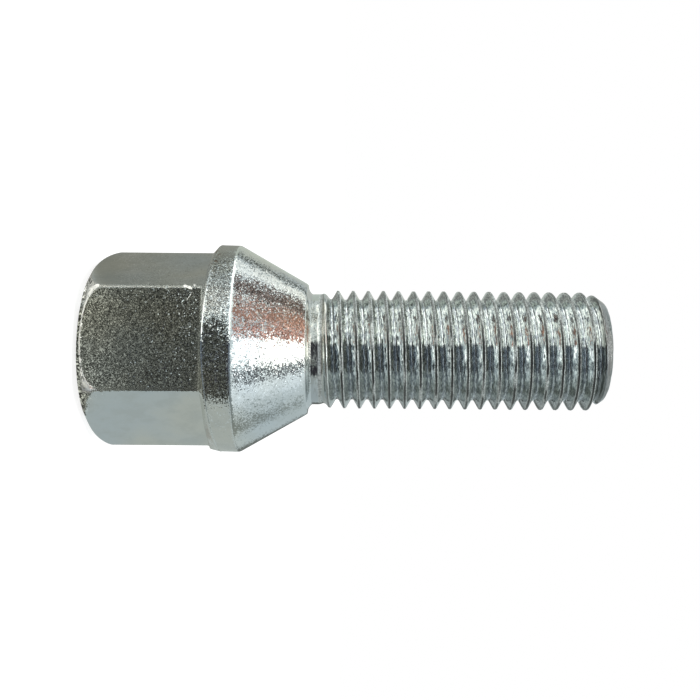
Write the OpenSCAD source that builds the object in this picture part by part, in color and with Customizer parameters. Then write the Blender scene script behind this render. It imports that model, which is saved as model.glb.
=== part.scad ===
// Wheel bolt, forged in one piece and zinc plated: a hexagon head, a collar with a conical seat
// and a rolled right-hand thread, M12 x 1.5. Sizes are in millimetres and angles in degrees.
// The bolt stands on its head: Z runs along its axis, from the end face of the head to the tip.

/* [Whole bolt] */

// Length over all, from the end face of the head to the tip
bolt_length = 50.6; // [46:0.2:56]

/* [Hexagon] */

// Width across the flats, for a 17 mm wheel wrench
across_flats = 16.9; // [16.4:0.1:17]

// Radius of the rounded edges between the flats
edge_radius = 0.5; // [0.2:0.1:1]

// Height of the hexagon, from the end face to the back of the collar
hexagon_height = 12.2; // [8:0.1:14]

// Radius of the flat end face, inside the chamfer
end_face_radius = 7.55; // [6.5:0.05:7.7]

// Slope of the chamfer, from the plane of the end face
chamfer_slope = 30; // [20:1:40]

// Radius that rounds the chamfer off into the edges of the hexagon
dome_radius = 2.55; // [1.5:0.05:3]

/* [Collar and seat] */

// Radius of the collar
collar_radius = 10.3; // [9.9:0.1:11.5]

// Height of the collar, from its back to the seat
collar_height = 2.5; // [1.5:0.1:4]

// Width of the bevel on the back of the collar
collar_bevel = 0.75; // [0.4:0.05:1]

// Full angle of the conical seat
seat_angle = 60; // [50:1:70]

// Radius of the small end of the seat
seat_end_radius = 6.48; // [6.3:0.02:7.2]

/* [Thread] */

// Diameter over the crests
thread_diameter = 11.76; // [11.6:0.02:12]

// Distance between neighbouring crests
thread_pitch = 1.5; // [1.25:0.25:1.75]

// Diameter of the plain neck between the seat and the thread
neck_diameter = 11; // [10.8:0.05:11.2]

// Distance from the small end of the seat to the first trace of the thread
neck_length = 1.1; // [1:0.1:4]

// Length over which the thread rises out of the neck
runout_length = 1.5; // [1:0.1:3]

// Radius of the flat face at the tip
tip_face_radius = 4.9; // [4.2:0.1:5]

// Slope of the chamfer at the tip, from the axis
tip_slope = 35; // [25:1:45]

// Turn of the whole thread around the axis
thread_turn = 16; // [0:1:359]

/* [Hidden] */

zinc = [0.74, 0.76, 0.75];
round_steps = 96;

// Hexagon: how far its rounded edges reach from the axis, and the round form that trims its end
half_flats = across_flats / 2;
edge_centre = (half_flats - edge_radius) / cos(30);
edge_reach = edge_centre + edge_radius;
dome_clearance = 0.1;
dome_reach = edge_reach + dome_clearance;
dome_centre_r = dome_reach - dome_radius;
dome_start_r = dome_centre_r + dome_radius * sin(chamfer_slope);
dome_start_z = (dome_start_r - end_face_radius) * tan(chamfer_slope);
dome_centre_z = dome_start_z + dome_radius * cos(chamfer_slope);

// Collar and seat
hexagon_end = hexagon_height + collar_bevel / 2;
seat_start = hexagon_height + collar_height;
seat_end = seat_start + (collar_radius - seat_end_radius) / tan(seat_angle / 2);

// The hollow round below the seat runs a little way into the neck, to cross its wall cleanly
neck_radius = neck_diameter / 2;
shoulder_depth = 0.1;
shoulder_slope = 25;
shoulder_inner = neck_radius - shoulder_depth;
shoulder_radius = (seat_end_radius - shoulder_inner) / cos(shoulder_slope);
shoulder_end = seat_end + shoulder_radius * (1 - sin(shoulder_slope));

// Thread: one tooth of the 60 degree profile, as [height, radius], with its root rounded
thread_radius = thread_diameter / 2;
crest_width = thread_pitch / 8;
root_radius = 0.144 * thread_pitch;
sharp_root = thread_radius - (thread_pitch - crest_width) / 2 / tan(30);
root_centre = sharp_root + root_radius / sin(30);
flank_start = [root_radius * cos(30), root_centre - root_radius * sin(30)];
tooth = [
    [0, root_centre - root_radius],
    flank_start,
    [(thread_pitch - crest_width) / 2, thread_radius],
    [(thread_pitch + crest_width) / 2, thread_radius],
    [thread_pitch - flank_start[0], flank_start[1]]
];
tooth_points = len(tooth);

// The helix starts inside the seat, and is a plain round up to the thread's first trace
thread_start = seat_end + neck_length;
helix_base = seat_end - thread_pitch;
helix_turns = ceil((bolt_length - helix_base) / thread_pitch) + 1;
turn_steps = 40;
levels = helix_turns * tooth_points;

tip_chamfer_height = (thread_radius - tip_face_radius) / tan(tip_slope);
tip_margin = 1;

function arc(centre_r, centre_z, radius, from, to, steps) = [
    for (i = [0 : steps])
        let (angle = from + (to - from) * i / steps)
        [centre_r + radius * cos(angle), centre_z + radius * sin(angle)]
];

// How far the thread has risen out of the neck at a height, from 0 to 1
function rise(z) = min(1, max(0, (z - thread_start) / runout_length));

// A point of the helix: step counts around one turn, and level counts up through the teeth
function helix_point(step, level) =
    let (
        angle = 360 * step / turn_steps,
        corner = tooth[level % tooth_points],
        turns = step / turn_steps + floor(level / tooth_points),
        z = helix_base + thread_pitch * turns + corner[0],
        r = neck_radius + (corner[1] - neck_radius) * rise(z)
    )
    [r * cos(angle), r * sin(angle), z];

// After the last step, the surface goes on at the first one, a whole tooth higher
function helix_index(step, level) =
    step < turn_steps
        ? step * (levels + 1) + level
        : level + tooth_points;

// The helix is a closed skin: its wall, the ends of its wall at the last step, and two caps
module helix() {
    last = turn_steps - 1;
    wall = [
        for (step = [0 : last], level = [0 : levels - 1])
            if (step < last || level < levels - tooth_points)
                let (
                    a = helix_index(step, level),
                    b = helix_index(step + 1, level),
                    c = helix_index(step + 1, level + 1),
                    d = helix_index(step, level + 1)
                )
                each [[a, c, b], [a, d, c]]
    ];
    wall_foot = [
        for (level = [0 : tooth_points - 1])
            [helix_index(last, 0), helix_index(0, level + 1), helix_index(0, level)]
    ];
    wall_top = [
        for (level = [levels - tooth_points : levels - 1])
            [helix_index(0, levels), helix_index(last, level), helix_index(last, level + 1)]
    ];
    foot_centre = turn_steps * (levels + 1);
    top_centre = foot_centre + 1;
    caps = [
        for (step = [0 : last])
            let (next = (step + 1) % turn_steps)
            each [
                [foot_centre, helix_index(step, 0), helix_index(next, 0)],
                [top_centre, helix_index(next, levels), helix_index(step, levels)]
            ]
    ];
    points = [
        for (step = [0 : last], level = [0 : levels])
            helix_point(step, level)
    ];
    centres = [
        [0, 0, helix_base],
        [0, 0, helix_base + (helix_turns + 1) * thread_pitch]
    ];
    polyhedron(points = concat(points, centres), faces = concat(wall, wall_foot, wall_top, caps));
}

module threaded_shank() {
    intersection() {
        rotate([0, 0, thread_turn])
            helix();
        rotate_extrude($fn = round_steps)
            polygon([
                [0, 0],
                [thread_radius + tip_margin, 0],
                [thread_radius + tip_margin, bolt_length - tip_chamfer_height - tip_margin / tan(tip_slope)],
                [tip_face_radius, bolt_length],
                [0, bolt_length]
            ]);
    }
}

module hexagon_section() {
    polygon([
        for (corner = [0 : 5])
            each [
                for (p = arc(0, 0, edge_radius, 60 * corner - 30, 60 * corner + 30, 5))
                    p + edge_centre * [cos(60 * corner), sin(60 * corner)]
            ]
    ]);
}

module hexagon_head() {
    intersection() {
        linear_extrude(height = hexagon_end)
            hexagon_section();
        rotate_extrude($fn = round_steps)
            polygon(concat(
                [[0, 0], [end_face_radius, 0]],
                arc(dome_centre_r, dome_centre_z, dome_radius, chamfer_slope - 90, 0, 8),
                [[dome_reach, hexagon_height + collar_bevel], [0, hexagon_height + collar_bevel]]
            ));
    }
}

module collar_and_seat() {
    rotate_extrude($fn = round_steps)
        polygon(concat(
            [
                [0, hexagon_height],
                [collar_radius - collar_bevel, hexagon_height],
                [collar_radius, hexagon_height + collar_bevel],
                [collar_radius, seat_start]
            ],
            arc(
                seat_end_radius,
                seat_end + shoulder_radius,
                shoulder_radius,
                270,
                180 + shoulder_slope,
                5
            ),
            [[0, shoulder_end]]
        ));
}

module wheel_bolt() {
    color(zinc)
        union() {
            hexagon_head();
            collar_and_seat();
            threaded_shank();
        }
}

wheel_bolt();
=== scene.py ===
import math

import bmesh
import bpy
import numpy as np
from mathutils import Matrix, Vector


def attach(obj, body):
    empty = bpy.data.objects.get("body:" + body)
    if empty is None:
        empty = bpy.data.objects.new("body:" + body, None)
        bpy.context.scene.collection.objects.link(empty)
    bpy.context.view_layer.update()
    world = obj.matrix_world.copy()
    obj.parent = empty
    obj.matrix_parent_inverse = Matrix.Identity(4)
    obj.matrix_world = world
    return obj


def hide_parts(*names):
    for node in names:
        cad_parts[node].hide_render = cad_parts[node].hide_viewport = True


# The wheel bolt stands on its head, with Z along its axis. The camera looks across the axis and is
# rolled, so that the tip points to the right of the picture. Sizes below are in millimetres, and
# MM makes them metres.

MM = 0.001

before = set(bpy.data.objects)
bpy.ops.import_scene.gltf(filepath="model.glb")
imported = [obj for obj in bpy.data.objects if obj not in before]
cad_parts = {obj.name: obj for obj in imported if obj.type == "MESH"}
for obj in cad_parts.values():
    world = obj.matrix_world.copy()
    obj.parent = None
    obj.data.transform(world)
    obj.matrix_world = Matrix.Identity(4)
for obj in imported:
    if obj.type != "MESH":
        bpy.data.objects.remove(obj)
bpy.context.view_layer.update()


# Camera

# The camera's side is its angle around the axis, and its roll is its turn about its own line of
# sight. It looks level, at a point on the axis, from a distance in millimetres.

CAMERA_SIDE = math.radians(6.3)
CAMERA_ROLL = math.radians(0.5)
CAMERA_DISTANCE = 100.0
CAMERA_HEIGHT = 25.52
CAMERA_LIFT = -0.04
FOCAL_PIXELS = 1000.0
PICTURE = 700
SENSOR = 36.0

back = Vector((math.sin(CAMERA_SIDE), -math.cos(CAMERA_SIDE), 0.0))
picture_up = back.cross(Vector((0.0, 0.0, 1.0)))


def make_camera():
    data = bpy.data.cameras.new("camera")
    data.sensor_width = SENSOR
    data.lens = SENSOR * FOCAL_PIXELS / PICTURE
    data.clip_start = 0.005
    data.clip_end = 20.0
    camera = bpy.data.objects.new("camera", data)
    bpy.context.collection.objects.link(camera)
    turn = Matrix.Rotation(CAMERA_ROLL, 3, back)
    right = turn @ Vector((0.0, 0.0, 1.0))
    up = turn @ picture_up
    place = back * CAMERA_DISTANCE + picture_up * CAMERA_LIFT
    place = (place + Vector((0.0, 0.0, CAMERA_HEIGHT))) * MM
    camera.matrix_world = Matrix(
        (
            (right.x, up.x, back.x, place.x),
            (right.y, up.y, back.y, place.y),
            (right.z, up.z, back.z, place.z),
            (0.0, 0.0, 0.0, 1.0),
        )
    )
    bpy.context.scene.camera = camera


make_camera()


# Sizes of the bolt, as in the CAD

LENGTH = 50.6
HALF_FLATS = 8.45
EDGE_RADIUS = 0.5
HEXAGON_HEIGHT = 12.2
END_FACE = 7.55
CHAMFER = math.radians(30)
DOME_RADIUS = 2.55
DOME_CLEARANCE = 0.1
COLLAR_RADIUS = 10.3
COLLAR_HEIGHT = 2.5
COLLAR_BEVEL = 0.75
SEAT_HALF_ANGLE = math.radians(30)
SEAT_END_RADIUS = 6.48
THREAD_RADIUS = 5.88
PITCH = 1.5
NECK_RADIUS = 5.5
NECK_LENGTH = 1.1
SHOULDER_SLOPE = math.radians(25)
SHOULDER_DEPTH = 0.1
RUNOUT = 1.5
TIP_FACE = 4.9
TIP_SLOPE = math.radians(35)
THREAD_TURN = math.radians(16)

edge_centre = (HALF_FLATS - EDGE_RADIUS) / math.cos(math.radians(30))
edge_reach = edge_centre + EDGE_RADIUS
dome_r = edge_reach + DOME_CLEARANCE - DOME_RADIUS
dome_start = dome_r + DOME_RADIUS * math.sin(CHAMFER)
dome_z = (dome_start - END_FACE) * math.tan(CHAMFER) + DOME_RADIUS * math.cos(CHAMFER)
seat_start = HEXAGON_HEIGHT + COLLAR_HEIGHT
seat_end = seat_start + (COLLAR_RADIUS - SEAT_END_RADIUS) / math.tan(SEAT_HALF_ANGLE)
thread_start = seat_end + NECK_LENGTH


def smooth(low, high, x):
    """Goes smoothly from 0 to 1, while x goes from low to high."""
    t = np.clip((x - low) / (high - low), 0.0, 1.0)
    return t * t * (3 - 2 * t)


# Head, collar and seat

# The angle around the axis that faces the top of the picture
turn_up = math.pi + CAMERA_SIDE


def hexagon_radius(phi):
    """How far the hexagon reaches from the axis, with its rounded edges, at an angle around it."""
    to_corner = np.abs((phi + math.pi / 6) % (math.pi / 3) - math.pi / 6)
    flat = HALF_FLATS / np.cos(math.pi / 6 - to_corner)
    inside = EDGE_RADIUS**2 - (edge_centre * np.sin(to_corner)) ** 2
    rounded = edge_centre * np.cos(to_corner) + np.sqrt(np.maximum(inside, 0.0))
    half = math.pi / 6
    reach = math.atan2(
        EDGE_RADIUS * math.sin(half), edge_centre + EDGE_RADIUS * math.cos(half)
    )
    return np.where(to_corner < reach, rounded, flat)


def end_height(r):
    """Height of the turned end of the head at a radius: its chamfer, then its round."""
    chamfer = (r - END_FACE) * math.tan(CHAMFER)
    dome = dome_z - np.sqrt(np.maximum(DOME_RADIUS**2 - (r - dome_r) ** 2, 0.0))
    return np.where(r < dome_start, chamfer, dome)


def bezier(a, b, c, steps):
    """Rows of a rounded corner b between two rows a and c, without its first and last ones."""
    rows = []
    for t in np.linspace(0, 1, steps + 2)[1:-1]:
        rows.append(
            tuple(
                (1 - t) ** 2 * p + 2 * t * (1 - t) * q + t**2 * s
                for p, q, s in zip(a, b, c)
            )
        )
    return rows


def line(a, b, steps):
    """Rows from a to b, both included."""
    return [
        tuple(p + (q - p) * t for p, q in zip(a, b)) for t in np.linspace(0, 1, steps)
    ]


def head_rows(phi):
    """Rows of (radius, height) from the middle of the end face to inside the neck."""
    one = np.ones_like(phi)
    hexagon = hexagon_radius(phi)
    lean = np.cos(phi - turn_up)
    low = np.maximum(0.0, -lean) ** 1.5

    # The back of the collar is uneven, as forged: deeper and softer on the lower side
    high = np.maximum(0.0, lean) ** 2
    back_z = HEXAGON_HEIGHT - 0.35 + 0.2 * high - 0.1 * low
    bevel = COLLAR_BEVEL * (0.12 + 0.88 * high + 1.16 * low)
    bead_room = 0.04
    wall_radius = COLLAR_RADIUS - bead_room
    bevel_start = np.maximum(wall_radius - COLLAR_BEVEL, hexagon + 0.32)

    def collar_radius(z):
        return wall_radius - 0.02 * lean * (z - HEXAGON_HEIGHT - 1.6)

    # The end was turned a little out of square, so that its lower side reaches further
    edge_end = END_FACE + 0.26
    tilt = 0.018

    def tilted(rows):
        return [(r, z + tilt * (edge_end + r * lean)) for r, z in rows]

    middle = 0.001 * one
    rows = [(middle, 0 * one)]
    rows += line((1.5 * one, 0 * one), (END_FACE - 0.3, 0 * one), 5)
    face_edge = (END_FACE * one, 0 * one)
    chamfer_in = (edge_end * one, 0.15 * one)
    rows += bezier(rows[-1], face_edge, chamfer_in, 3)
    edge = 0.1
    for t in np.linspace(0, 1, 16):
        r = edge_end + (hexagon - edge - edge_end) * t
        rows.append((r, end_height(r)))
    wall_start = end_height(hexagon)
    wall_low = (hexagon, wall_start + edge)
    rows += bezier(rows[-1], (hexagon, wall_start), wall_low, 3)
    rows = tilted(rows)
    wall_low = tilted([wall_low])[0]
    fillet = 0.28
    rows += line(wall_low, (hexagon, back_z - fillet), 34)
    back_in = (hexagon + fillet, back_z)
    rows += bezier(rows[-1], (hexagon, back_z), back_in, 4)
    rows.append(back_in)
    start = (bevel_start, back_z + 0.02)
    top = (collar_radius(back_z + bevel), back_z + bevel)
    into = tuple(p + (q - p) * 0.2 for p, q in zip(start, top))
    rows += bezier(back_in, start, into, 3)
    near = tuple(p + (q - p) * 0.72 for p, q in zip(start, top))
    rows += line(into, near, 4)
    wall_z = back_z + bevel + 0.03
    wall = (collar_radius(wall_z), wall_z)
    rows += bezier(near, top, wall, 4)
    bead = 0.005 + 0.017 * np.maximum(0.0, 1 - 3 * high)
    for t in np.linspace(0, 1, 9):
        z = wall_z + 0.22 * t
        rows.append((collar_radius(z) + bead * math.sin(math.pi * t) ** 2, z))
    wall_end = (collar_radius(seat_start - 0.13), (seat_start - 0.13) * one)
    rows += line(rows[-1], wall_end, 8)[1:]
    corner = (collar_radius(seat_start), seat_start * one)
    seat_far = (SEAT_END_RADIUS * one, seat_end * one)
    seat_near = tuple(p + (q - p) * 0.032 for p, q in zip(corner, seat_far))
    rows += bezier(wall_end, corner, seat_near, 4)
    seat_stop = tuple(p + (q - p) * 0.93 for p, q in zip(corner, seat_far))
    rows += line(seat_near, seat_stop, 36)
    lip_radius = SEAT_END_RADIUS - 0.06
    lip_z = seat_end + 0.02
    rows += bezier(seat_stop, seat_far, (lip_radius * one, lip_z * one), 6)
    # The hollow round below the seat runs a little way into the neck
    reach = SEAT_END_RADIUS - NECK_RADIUS + SHOULDER_DEPTH
    shoulder = reach / math.cos(SHOULDER_SLOPE)
    for angle in np.linspace(math.radians(270), math.pi + SHOULDER_SLOPE, 12):
        r = lip_radius + shoulder * math.cos(angle)
        z = lip_z + shoulder * (1 + math.sin(angle))
        rows.append((r * one, z * one))
    rows.append((middle, z * one))
    return rows


def mesh_piece(name, points, faces):
    """A new object from points in millimetres."""
    data = bpy.data.meshes.new(name)
    data.from_pydata((np.asarray(points) * MM).tolist(), [], faces)
    data.validate()
    piece = bpy.data.objects.new(name, data)
    bpy.context.collection.objects.link(piece)
    return piece


def head_angles():
    """Angles around the axis, closer together at the six edges of the hexagon."""
    near = [0.0, 0.4, 0.8, 1.15, 1.47, 1.9, 2.6, 3.6]
    edge = [-a for a in near[:0:-1]] + near
    sector = edge + list(np.linspace(near[-1], 60 - near[-1], 24)[1:-1])
    return np.radians([60 * corner + a for corner in range(6) for a in sector])


def head_mesh():
    phi = head_angles()
    around = len(phi)
    rows = head_rows(phi)
    points = []
    for r, z in rows:
        points += np.stack([r * np.cos(phi), r * np.sin(phi), z + 0 * r], 1).tolist()
    faces = []
    for i in range(len(rows) - 1):
        for k in range(around):
            n = (k + 1) % around
            a, b = i * around + k, i * around + n
            faces.append((a, b, b + around, a + around))
    faces.append(list(range(around))[::-1])
    last = (len(rows) - 1) * around
    faces.append([last + k for k in range(around)])
    return points, faces


# Thread

THREAD_STEPS = 96
CREST_START = THREAD_RADIUS - 0.18
TIP_ROUND = 0.25


def tooth_profile():
    """One tooth as rows of (height, radius): rounded root, flanks, and a crest with a rolled seam."""
    crest = PITCH / 8
    root = 0.144 * PITCH
    sharp = THREAD_RADIUS - (PITCH - crest) / 2 / math.tan(math.radians(30))
    centre = sharp + root / math.sin(math.radians(30))
    rows = []
    for angle in np.radians([-90, -70, -50, -30]):
        rows.append((root * math.cos(angle), centre + root * math.sin(angle)))
    rows[0] = (0.0, centre - root)
    flank = rows[-1]
    top = ((PITCH - crest) / 2, THREAD_RADIUS)
    for t in (0.25, 0.5, 0.75, 0.93):
        rows.append(
            (flank[0] + (top[0] - flank[0]) * t, flank[1] + (top[1] - flank[1]) * t)
        )
    rows.append((PITCH / 2 - crest * 0.42, THREAD_RADIUS - 0.012))
    rows.append((PITCH / 2 - crest * 0.22, THREAD_RADIUS))
    half = [(PITCH - z, r) for z, r in rows[:0:-1]]
    return rows + [(PITCH / 2, THREAD_RADIUS - 0.035)] + half


def tip_radius(z):
    """How far the chamfer at the tip lets the thread reach from the axis."""
    below = np.maximum(LENGTH - z, 0.0)
    cone = TIP_FACE + below * math.tan(TIP_SLOPE)
    near = np.minimum(below, TIP_ROUND)
    arc = np.sqrt(np.maximum(TIP_ROUND**2 - (TIP_ROUND - near) ** 2, 0.0))
    return np.where(below < 0.1, np.minimum(cone, TIP_FACE - 0.15 + arc), cone)


def thread_mesh():
    tooth = tooth_profile()
    count = len(tooth)
    base = seat_end - PITCH
    turns = math.ceil((LENGTH - base) / PITCH) + 1
    levels = turns * count
    heights = np.array([t[0] for t in tooth])
    radii = np.array([t[1] for t in tooth])
    level = np.arange(levels + 1)
    points = []
    for step in range(THREAD_STEPS):
        turned = step / THREAD_STEPS + level // count
        z = base + PITCH * turned + heights[level % count]
        along = 2 * math.pi * turned
        # The crests waver a little along the thread
        wave = 0.010 * np.sin(7.3 * along + 1.0)
        wave += 0.008 * np.sin(23.1 * along + 5 * level)
        profile = radii[level % count]
        raised = profile + wave * (profile > CREST_START)
        r = NECK_RADIUS + (raised - NECK_RADIUS) * smooth(
            thread_start, thread_start + RUNOUT, z
        )
        r = np.minimum(r, tip_radius(z))
        phi = 2 * math.pi * step / THREAD_STEPS + THREAD_TURN
        points += np.stack([r * math.cos(phi), r * math.sin(phi), z], 1).tolist()

    def index(step, lev):
        return step * (levels + 1) + lev if step < THREAD_STEPS else lev + count

    faces = []
    for step in range(THREAD_STEPS):
        stop = levels if step < THREAD_STEPS - 1 else levels - count
        for lev in range(stop):
            faces.append(
                (
                    index(step, lev),
                    index(step + 1, lev),
                    index(step + 1, lev + 1),
                    index(step, lev + 1),
                )
            )
    return points, faces


def cut_thread(piece):
    """Cuts the thread square at the tip, and closes it there."""
    bm = bmesh.new()
    bm.from_mesh(piece.data)
    cut = bmesh.ops.bisect_plane(
        bm,
        geom=bm.verts[:] + bm.edges[:] + bm.faces[:],
        plane_co=(0, 0, LENGTH * MM),
        plane_no=(0, 0, 1),
        clear_outer=True,
    )
    rim = [e for e in cut["geom_cut"] if isinstance(e, bmesh.types.BMEdge)]
    bmesh.ops.holes_fill(bm, edges=rim, sides=0)
    bm.to_mesh(piece.data)
    bm.free()


# Material


class Nodes:
    """A short way to write a node tree: each call adds a node and returns its output."""

    def __init__(self, tree):
        self.tree = tree
        tree.nodes.clear()

    def put(self, socket, value):
        if isinstance(value, bpy.types.NodeSocket):
            self.tree.links.new(value, socket)
        elif value is not None:
            socket.default_value = value

    def math(self, operation, a, b=None, c=None, clamp=False):
        node = self.tree.nodes.new("ShaderNodeMath")
        node.operation = operation
        node.use_clamp = clamp
        for socket, value in zip(node.inputs, (a, b, c)):
            self.put(socket, value)
        return node.outputs[0]

    def step(self, x, low, high, a=0.0, b=1.0):
        """Goes smoothly from a to b, while x goes from low to high."""
        node = self.tree.nodes.new("ShaderNodeMapRange")
        node.interpolation_type = "SMOOTHSTEP"
        for name, value in zip(
            ("Value", "From Min", "From Max", "To Min", "To Max"), (x, low, high, a, b)
        ):
            self.put(node.inputs[name], value)
        return node.outputs["Result"]

    def band(self, x, low, high, soft):
        """1 where x lies between low and high, with soft ends."""
        rise = self.step(x, low - soft, low + soft)
        fall = self.step(x, high - soft, high + soft, 1.0, 0.0)
        return self.math("MULTIPLY", rise, fall)

    def mix(self, factor, a, b, blend="MIX"):
        node = self.tree.nodes.new("ShaderNodeMix")
        node.data_type = "RGBA"
        node.blend_type = blend
        self.put(node.inputs[0], factor)
        self.put(node.inputs[6], a)
        self.put(node.inputs[7], b)
        return node.outputs[2]

    def noise(self, vector, scale, detail=2.0, roughness=0.5):
        """Noise from 0 to 1. Over a place in metres, the scale is in cells per metre."""
        node = self.tree.nodes.new("ShaderNodeTexNoise")
        self.put(node.inputs["Vector"], vector)
        node.inputs["Scale"].default_value = scale
        node.inputs["Detail"].default_value = detail
        node.inputs["Roughness"].default_value = roughness
        return node.outputs["Fac"]

    def bump(self, height, distance):
        node = self.tree.nodes.new("ShaderNodeBump")
        self.put(node.inputs["Height"], height)
        node.inputs["Distance"].default_value = distance
        return node.outputs["Normal"]

    def vector(self, operation, a, b=None):
        node = self.tree.nodes.new("ShaderNodeVectorMath")
        node.operation = operation
        self.put(node.inputs[0], a)
        self.put(node.inputs[1], b)
        return node.outputs["Vector"]

    def separate(self, vector):
        node = self.tree.nodes.new("ShaderNodeSeparateXYZ")
        self.put(node.inputs[0], vector)
        return node.outputs

    def combine(self, x, y, z):
        node = self.tree.nodes.new("ShaderNodeCombineXYZ")
        for socket, value in zip(node.inputs, (x, y, z)):
            self.put(socket, value)
        return node.outputs[0]

    def from_axis(self, x, y):
        squares = self.math("ADD", self.math("MULTIPLY", x, x), self.math("MULTIPLY", y, y))
        return self.math("SQRT", squares)

    def facets(self, vector, scale, tilt, normal, few=False):
        """Breaks the surface into small facets, each with a tilt of its own."""
        node = self.tree.nodes.new("ShaderNodeTexVoronoi")
        self.put(node.inputs["Vector"], vector)
        node.inputs["Scale"].default_value = scale
        lean = self.vector("SUBTRACT", node.outputs["Color"], (0.5, 0.5, 0.5))
        if few:
            # Most facets lie nearly flat, and only a few are tilted far
            lean = self.vector("MULTIPLY", lean, self.vector("MULTIPLY", lean, lean))
        lean = self.vector("MULTIPLY", lean, tilt)
        return self.vector("NORMALIZE", self.vector("ADD", normal, lean))

    def stroke(self, place, start, end, width):
        """A short stroke on the front of the bolt, between two points (x, z) in mm: 1 inside it."""
        run = end[0] - start[0], end[1] - start[1]
        node = self.tree.nodes.new("ShaderNodeMapping")
        node.vector_type = "TEXTURE"
        self.put(node.inputs["Vector"], place)
        middle = (start[0] + end[0]) / 2, -8.5, (start[1] + end[1]) / 2
        node.inputs["Location"].default_value = [c * MM for c in middle]
        node.inputs["Rotation"].default_value = (0.0, math.atan2(*run), 0.0)
        size = width, 2.0, math.hypot(*run) / 2 + width
        node.inputs["Scale"].default_value = [c * MM for c in size]
        length = self.tree.nodes.new("ShaderNodeVectorMath")
        length.operation = "LENGTH"
        self.put(length.inputs[0], node.outputs["Vector"])
        rim = self.math("MULTIPLY", self.noise(place, 8000.0, 1.0), 2.0)
        return self.step(self.math("ADD", length.outputs["Value"], rim), 1.4, 1.9, 1, 0)

    def lean(self, normal, mask, lean):
        """Leans the surface where the mask is set."""
        leaning = self.vector("ADD", normal, self.vector("MULTIPLY", mask, lean))
        return self.vector("NORMALIZE", leaning)

    def seen(self):
        """1 for rays from the lens, also by way of a mirror or through glass."""
        path = self.tree.nodes.new("ShaderNodeLightPath").outputs
        direct = self.math("ADD", path["Is Camera Ray"], path["Is Glossy Ray"])
        return self.math("ADD", direct, path["Is Transmission Ray"], clamp=True)


def shade(r, g, b):
    """A colour as the nodes take it, with its alpha."""
    return (r, g, b, 1.0)


# Nicks and scratches on the front of the head: both ends (x, z), half width, and their lean
NICKS = [
    ((-4.93, 10.20), (-4.80, 10.40), 0.20, (-0.20, 0.0, 0.25)),
    ((-4.75, 10.60), (-4.62, 10.80), 0.18, (-0.20, 0.0, 0.25)),
    ((-5.03, 11.05), (-4.95, 11.15), 0.12, (-0.20, 0.0, 0.25)),
    ((-4.32, 10.97), (-3.47, 10.44), 0.045, (-0.20, 0.0, 0.17)),
    ((-4.95, 1.55), (-4.60, 2.00), 0.26, (-0.10, 0.0, 0.20)),
    ((4.20, 0.95), (4.75, 2.20), 0.28, (-0.35, 0.0, 0.30)),
    ((-2.68, 16.91), (-2.12, 17.10), 0.09, (0.35, 0.0, 0.0)),
    ((-2.12, 17.10), (-1.77, 17.47), 0.09, (0.35, 0.0, 0.0)),
    ((-2.45, 17.12), (-1.95, 17.42), 0.10, (-0.35, 0.0, 0.0)),
    ((-1.48, 17.48), (-0.36, 17.51), 0.06, (0.30, 0.0, 0.0)),
]


def plating(n, place):
    """The skin that both pieces share: its colour, and a normal with shallow ripples."""
    tint = n.step(n.noise(place, 130.0, 3.0), 0.35, 0.65)
    blotch = n.step(n.noise(place, 520.0, 3.0, 0.6), 0.42, 0.68)
    colour = n.mix(tint, shade(0.75, 0.755, 0.705), shade(0.68, 0.73, 0.755))
    colour = n.mix(n.math("MULTIPLY", blotch, 0.32), colour, shade(0.58, 0.59, 0.545))
    return colour, n.bump(n.noise(place, 700.0, 0.0), 0.03 * MM)


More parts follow.
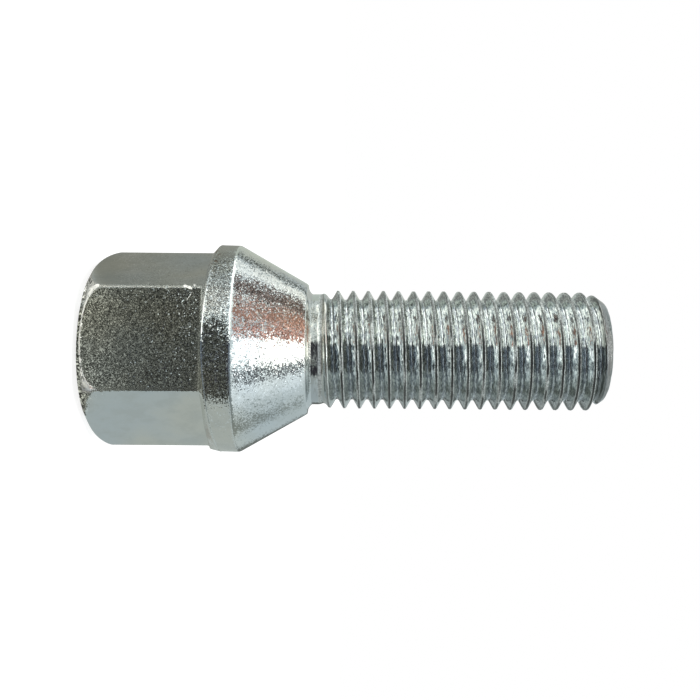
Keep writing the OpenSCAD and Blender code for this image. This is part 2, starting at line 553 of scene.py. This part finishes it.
def thread_wear(n, coordinates, colour, normal):
    """The marks of rolling and wear on the thread, with painted light and shade on its flanks, seam
    and lower side. It also returns the mask of the worn crest and the painted highlights.
    """
    place = coordinates["Object"]
    x, y, z = n.separate(place)
    # Rolling has drawn the grain out around the thread
    angle = n.math("ARCTAN2", y, x)
    skin = n.combine(n.math("MULTIPLY", angle, 1.3 * MM), n.from_axis(x, y), z)

    # The neck and the face of the tip are smoother than the thread
    from_neck = n.step(z, (thread_start + 0.6) * MM, (thread_start + 1.3) * MM)
    to_tip = n.step(z, (LENGTH - 0.12) * MM, (LENGTH - 0.04) * MM, 1.0, 0.0)
    cut = n.math("MULTIPLY", from_neck, to_tip)
    tilt = n.combine(0.035, 0.035, n.math("MULTIPLY_ADD", cut, 0.24, 0.06))
    normal = n.facets(skin, 8500.0, tilt, normal)

    # Where a point lies across its tooth: 0 and 1 at the roots, 0.5 at the crest
    height = n.math("DIVIDE", n.math("SUBTRACT", z, (seat_end - PITCH) * MM), PITCH * MM)
    turn = n.math("DIVIDE", n.math("SUBTRACT", angle, THREAD_TURN), 2 * math.pi)
    tooth = n.math("FRACT", n.math("SUBTRACT", height, turn))
    wander = n.math("MULTIPLY", n.math("SUBTRACT", n.noise(skin, 3500.0, 2.0), 0.5), 0.10)
    across = n.math("ADD", tooth, wander)

    # Painted light and shade: the flanks that face the tip are painted brighter than those that face
    # the head, over the streaks of the grain
    streaks = n.step(n.noise(skin, 8000.0, 1.0, 0.6), 0.40, 0.60)
    bright = n.mix(streaks, shade(0.70, 0.74, 0.70), shade(0.90, 0.91, 0.86))
    painted_shade_flank = n.mix(streaks, shade(0.36, 0.39, 0.43), shade(0.76, 0.81, 0.82))
    flanks = n.mix(n.band(across, 0.54, 0.90, 0.05), painted_shade_flank, bright)
    colour = n.mix(cut, colour, flanks)

    # The crest is partly worn, and is painted pale and less metallic as a painted highlight. The edge
    # where the thread starts gets the same painted highlight
    crest = n.math("MULTIPLY", n.band(across, 0.38, 0.62, 0.02), cut)
    rim = n.band(z, (thread_start + 0.05) * MM, (thread_start + 0.4) * MM, 0.06 * MM)
    crest = n.math("MAXIMUM", crest, n.math("MULTIPLY", rim, 0.8))
    pitted = n.step(n.noise(place, 6500.0, 1.0, 0.6), 0.40, 0.55)
    crest_wear_and_highlight = n.mix(pitted, shade(0.40, 0.44, 0.43), shade(0.92, 1.0, 0.98))
    colour = n.mix(crest, colour, crest_wear_and_highlight)

    # Rolling leaves a seam between the two edges of the crest. It is painted almost black as painted
    # shade, stronger on the lower side
    seam = n.band(across, 0.42, 0.555, 0.012)
    seam = n.math("MULTIPLY", seam, n.step(n.noise(skin, 1800.0, 1.0), 0.30, 0.45))
    seam = n.math("MULTIPLY", seam, cut)
    seam = n.math("MULTIPLY", seam, n.step(x, -4.0 * MM, 0.0, 0.6, 1.0))
    colour = n.mix(seam, colour, shade(0.034, 0.038, 0.038))

    # The lower side is painted darker as painted shade, and the last turns at the tip are darker too
    lower = n.step(x, 1.5 * MM, 5.5 * MM, 0.0, 0.38)
    colour = n.mix(lower, colour, shade(0.17, 0.18, 0.165))
    tip = n.step(z, (LENGTH - 1.35) * MM, (LENGTH - 0.9) * MM)
    colour = n.mix(n.math("MULTIPLY", tip, 0.85), colour, shade(0.20, 0.21, 0.205))
    return colour, normal, crest


def head_wear(n, coordinates, colour, normal):
    """The grain, nicks and rust of the head, with painted highlights on the nicks of the hexagon and
    on the edge of its turned end, and the mask of these.
    """
    place = coordinates["Object"]
    x, _, z = n.separate(place)
    normal = n.facets(place, 10500.0, (1.05, 1.05, 0.75), normal, few=True)
    normal = n.facets(place, 4300.0, (0.05, 0.05, 0.04), normal)
    bare_and_highlight = 0.0
    for start, end, width, lean in NICKS:
        nick = n.stroke(place, start, end, width)
        normal = n.lean(normal, nick, lean)
        # Nicks on the hexagon are painted pale and less metallic below, as painted glints; those on
        # the seat are darker
        if start[1] < seat_start:
            bare_and_highlight = n.math("MAXIMUM", bare_and_highlight, nick)
        else:
            colour = n.mix(nick, colour, shade(0.43, 0.42, 0.38))

    # The edge where the front flat meets the turned end is painted as a bright painted highlight over
    # a little wear, and so is the one opposite
    ragged = n.math("SUBTRACT", n.noise(place, 4000.0, 2.0), 0.5)
    slope = n.math("MULTIPLY_ADD", ragged, 0.35, n.separate(coordinates["Normal"])[2])
    edge = n.math("MULTIPLY", n.band(slope, -0.80, -0.12, 0.04), n.band(z, 0.0, 3.0 * MM, 0.2 * MM))
    edge = n.math("MULTIPLY", edge, n.band(x, -5.0 * MM, 5.0 * MM, 0.3 * MM))
    edge = n.math("MULTIPLY", edge, n.step(n.noise(place, 2600.0, 2.0), 0.36, 0.5, 0.35, 1.0))
    normal = n.lean(normal, edge, (-0.3, 0.0, 0.9))
    bare_and_highlight = n.math("MAXIMUM", bare_and_highlight, edge)
    # Painted highlight: the nicks of the hexagon and the edge of the turned end are painted almost
    # white
    colour = n.mix(bare_and_highlight, colour, shade(0.95, 0.95, 0.90))

    # A little rust on the back of the collar
    rust = n.band(z, (HEXAGON_HEIGHT - 0.2) * MM, (HEXAGON_HEIGHT + 0.9) * MM, 0.2 * MM)
    rust = n.math("MULTIPLY", rust, n.step(n.noise(place, 1300.0, 2.0), 0.52, 0.62))
    rust = n.math("MULTIPLY", rust, n.step(x, -7.5 * MM, -5.0 * MM, 0.8, 0.0))
    return n.mix(rust, colour, shade(0.32, 0.22, 0.16)), normal, bare_and_highlight


def zinc_material(name, wear, roughness, bare_roughness):
    """Bright zinc plating, with the wear and painted light of one piece. It is less metallic where
    the piece's mask of wear and painted highlights is set.
    """
    material = bpy.data.materials.new(name)
    material.use_nodes = True
    n = Nodes(material.node_tree)
    coordinates = n.tree.nodes.new("ShaderNodeTexCoord").outputs
    place = coordinates["Object"]
    colour, normal = plating(n, place)
    colour, normal, bare_and_highlight = wear(n, coordinates, colour, normal)
    rough = n.step(n.noise(place, 5200.0, 2.0, 0.6), 0.3, 0.7, roughness, roughness + 0.03)
    shader = n.tree.nodes.new("ShaderNodeBsdfPrincipled")
    n.put(shader.inputs["Metallic"], n.math("MULTIPLY_ADD", bare_and_highlight, -0.65, 1.0))
    n.put(shader.inputs["Base Color"], colour)
    n.put(shader.inputs["Roughness"], n.math("MULTIPLY_ADD", bare_and_highlight, bare_roughness, rough))
    n.put(shader.inputs["Normal"], normal)
    output = n.tree.nodes.new("ShaderNodeOutputMaterial")
    n.put(output.inputs["Surface"], shader.outputs[0])
    return material


# Studio

TENT_RADIUS = 400.0
TENT_LIFT = 0.03
TENT_MIDDLE = 20.0


def tent_mesh():
    """A half sphere over the bolt, with a floor of its own just above the real one."""
    inner = 0.2
    rings = [(inner, TENT_LIFT), (TENT_RADIUS, TENT_LIFT)]
    for angle in np.radians(np.arange(3, 90, 4)):
        height = TENT_LIFT + TENT_RADIUS * math.sin(angle)
        rings.append((TENT_RADIUS * math.cos(angle), height))
    rings.append((inner, TENT_LIFT + TENT_RADIUS))
    around = 64
    points = []
    for r, z in rings:
        for k in range(around):
            a = 2 * math.pi * k / around
            points.append((r * math.cos(a), r * math.sin(a), z))
    faces = []
    for i in range(len(rings) - 1):
        for k in range(around):
            m = (k + 1) % around
            a, b = i * around + k, i * around + m
            faces.append((a, b, b + around, a + around))
    return points, faces


def tent_material():
    """Cards of light and shade on the tent. The side of a place is its angle around the axis, from
    the lens towards the top of the picture, and its rise is its angle above TENT_MIDDLE, in degrees.
    """
    material = bpy.data.materials.new("light_tent")
    material.use_nodes = True
    n = Nodes(material.node_tree)
    x, y, z = n.separate(n.tree.nodes.new("ShaderNodeTexCoord").outputs["Object"])

    def along(direction):
        right = n.math("MULTIPLY", x, direction.x)
        return n.math("ADD", right, n.math("MULTIPLY", y, direction.y))

    def degrees(across, out):
        return n.math("MULTIPLY", n.math("ARCTAN2", across, out), 180 / math.pi)

    side = degrees(along(picture_up), along(back))
    rise = degrees(n.math("SUBTRACT", z, TENT_MIDDLE * MM), n.from_axis(x, y))

    def patch(side_low, side_high, side_soft, low, high, soft):
        across = n.band(side, side_low, side_high, side_soft)
        return n.math("MULTIPLY", across, n.band(rise, low, high, soft))

    # Pale at the sides, and dark in front: on the floor, and at the level of the thread
    lower = n.step(side, -150, -72)
    colour = n.mix(lower, shade(0.52, 0.59, 0.60), shade(0.66, 0.73, 0.74))
    flag = n.mix(
        n.step(rise, -62, -8), shade(0.143, 0.146, 0.126), shade(0.045, 0.047, 0.041)
    )
    dusk = n.mix(
        n.step(side, -80, -20), shade(0.25, 0.285, 0.28), shade(0.175, 0.205, 0.235)
    )
    behind = n.step(n.math("ABSOLUTE", side), 110, 130)
    near = n.math("MULTIPLY", behind, n.step(rise, -42, -30, 1.0, 0.0))
    layers = [
        # Low, for the hexagon and the collar
        (n.step(rise, -6, 0, 1.0, 0.0), shade(0.46, 0.505, 0.495)),
        (patch(74, 200, 6, -90, -4, 3), shade(0.30, 0.312, 0.283)),
        (patch(86, 126, 5, -90, -4, 3), shade(0.25, 0.258, 0.228)),
        (patch(34, 72, 4, -90, -4, 3), shade(0.34, 0.34, 0.31)),
        (patch(-56, 32, 4, -90, -4, 3), flag),
        (near, shade(0.32, 0.325, 0.30)),
        # Level, for the thread and the neck
        (patch(-180, -118, 8, -4, 7, 3), shade(0.15, 0.165, 0.155)),
        (patch(-118, -45, 8, -4, 32, 4), shade(0.25, 0.28, 0.265)),
        (patch(-90, 12, 3, -3, 34, 4), dusk),
        (patch(13, 112, 2, 1, 26, 2), shade(1.70, 1.71, 1.60)),
        (patch(118, 180, 5, -4, 14, 4), shade(0.55, 0.60, 0.54)),
        (patch(-55, 15, 3, -4, 6, 1.5), shade(0.035, 0.035, 0.042)),
        (patch(-145, -60, 4, -4, 6, 1.5), shade(0.54, 0.61, 0.63)),
        # High, for the seat
        (patch(-76, -50, 10, 34, 60, 6), shade(0.92, 1.0, 1.03)),
        (patch(-50, -31, 3, 44, 66, 4), shade(0.12, 0.13, 0.14)),
        (patch(17, 42, 4, 48, 68, 2), shade(0.35, 0.19, 0.155)),
        (patch(42, 76, 5, 41, 68, 2), shade(0.37, 0.215, 0.165)),
        (patch(10, 74, 3, 27, 39, 3), shade(1.05, 1.06, 0.98)),
        (patch(76, 103, 4, 30, 52, 4), shade(0.17, 0.135, 0.12)),
        (patch(107, 122, 3, 20, 42, 5), shade(1.1, 1.12, 1.07)),
        (patch(127, 137, 3, 10, 36, 5), shade(0.11, 0.12, 0.11)),
        (patch(141, 200, 4, 8, 32, 5), shade(0.52, 0.54, 0.51)),
        (n.step(rise, 66, 70), shade(0.85, 0.86, 0.85)),
    ]
    for mask, value in layers:
        colour = n.mix(mask, colour, value)

    # Broken light and shade, as of a workshop, which the grain of the metal picks up as specks:
    # few and strong for the head, many and weaker at the level of the thread
    spot = n.combine(n.math("MULTIPLY", side, 0.1), n.math("MULTIPLY", rise, 0.1), 0.0)
    broken = n.noise(spot, 6.0, 1.0)
    sparse = n.step(broken, 0.48, 0.68, 0.32, n.step(side, 50, 75, 6.5, 4.2))
    bright = n.step(side, 4, 16)
    least = n.math("MULTIPLY_ADD", bright, 0.33, 0.52)
    most = n.math("MULTIPLY_ADD", bright, -0.5, 1.85)
    dense = n.step(broken, 0.43, 0.57, least, most)
    ceiling = n.math("SUBTRACT", rise, n.step(side, 60, 80, 50, 30))
    level = n.math("MULTIPLY", n.step(rise, -6, 0), n.step(ceiling, -3, 3, 1, 0))
    zone = n.math("MULTIPLY", n.band(side, -56, 112, 6), n.step(rise, -76, -69))
    floor_side = n.math("MULTIPLY", n.step(side, 50, 70), n.step(rise, -40, -30, 1.0, 0.0))
    zone = n.math("MULTIPLY", zone, n.math("SUBTRACT", 1.0, floor_side))
    colour = n.mix(zone, colour, n.mix(level, sparse, dense), blend="MULTIPLY")

    # The window that gives the seat its white band
    colour = n.mix(patch(-27, 15, 4, 49, 67, 2), colour, shade(2.2, 2.2, 2.2))
    emission = n.tree.nodes.new("ShaderNodeEmission")
    n.put(emission.inputs["Color"], colour)
    output = n.tree.nodes.new("ShaderNodeOutputMaterial")
    n.put(output.inputs["Surface"], emission.outputs[0])
    material.cycles.emission_sampling = "NONE"
    return material


def studio_tent():
    """A tent over the bolt that only its reflections see."""
    tent = mesh_piece("light_tent", *tent_mesh())
    for ray in ("camera", "diffuse", "transmission", "shadow", "volume_scatter"):
        setattr(tent, "visible_" + ray, False)
    tent.data.materials.append(tent_material())


def white_floor():
    """White paper that keeps the bolt's shadow."""
    half = 3000.0
    corners = [(-half, -half, 0), (half, -half, 0), (half, half, 0), (-half, half, 0)]
    floor = mesh_piece("floor", corners, [(0, 1, 2, 3)])
    material = bpy.data.materials.new("floor_paper")
    material.use_nodes = True
    n = Nodes(material.node_tree)
    paper = n.tree.nodes.new("ShaderNodeBsdfDiffuse")
    paper.inputs["Color"].default_value = shade(0.45, 0.45, 0.45)
    lift = n.tree.nodes.new("ShaderNodeEmission")
    n.put(lift.inputs["Strength"], n.math("MULTIPLY", n.seen(), 0.8))
    both = n.tree.nodes.new("ShaderNodeAddShader")
    n.put(both.inputs[0], paper.outputs[0])
    n.put(both.inputs[1], lift.outputs[0])
    output = n.tree.nodes.new("ShaderNodeOutputMaterial")
    n.put(output.inputs["Surface"], both.outputs[0])
    floor.data.materials.append(material)


def white_world():
    """A white backdrop that lights the bolt a little less than it shows."""
    world = bpy.data.worlds.new("studio")
    bpy.context.scene.world = world
    world.use_nodes = True
    n = Nodes(world.node_tree)
    sky = n.tree.nodes.new("ShaderNodeBackground")
    sky.inputs["Color"].default_value = shade(1.0, 1.0, 1.0)
    n.put(sky.inputs["Strength"], n.step(n.seen(), 0.0, 1.0, 0.75, 1.0))
    output = n.tree.nodes.new("ShaderNodeOutputWorld")
    n.put(output.inputs["Surface"], sky.outputs[0])


def soft_lamp(name, place, size, power):
    """A square lamp that points at the middle of the bolt, and that the metal doesn't mirror."""
    data = bpy.data.lights.new(name, "AREA")
    data.shape = "SQUARE"
    data.size = size * MM
    data.energy = power
    lamp = bpy.data.objects.new(name, data)
    bpy.context.collection.objects.link(lamp)
    lamp.location = Vector(place) * MM
    middle = Vector((0.0, 0.0, 25.0)) * MM
    aim = middle - lamp.location
    lamp.rotation_euler = aim.to_track_quat("-Z", "Y").to_euler()
    lamp.visible_glossy = False


# The scene

head = mesh_piece("bolt_head", *head_mesh())
thread = mesh_piece("bolt_thread", *thread_mesh())
cut_thread(thread)
for piece in (head, thread):
    piece.data.shade_smooth()
    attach(piece, "root")
head.data.materials.append(zinc_material("zinc_head", head_wear, 0.04, 0.0))
thread.data.materials.append(zinc_material("zinc_thread", thread_wear, 0.07, 0.12))
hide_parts("wheel_bolt")

white_floor()
white_world()
studio_tent()
soft_lamp("lamp_over", (-120, -160, 420), 300, 0.6)

view = bpy.context.scene.view_settings
view.view_transform = "Standard"
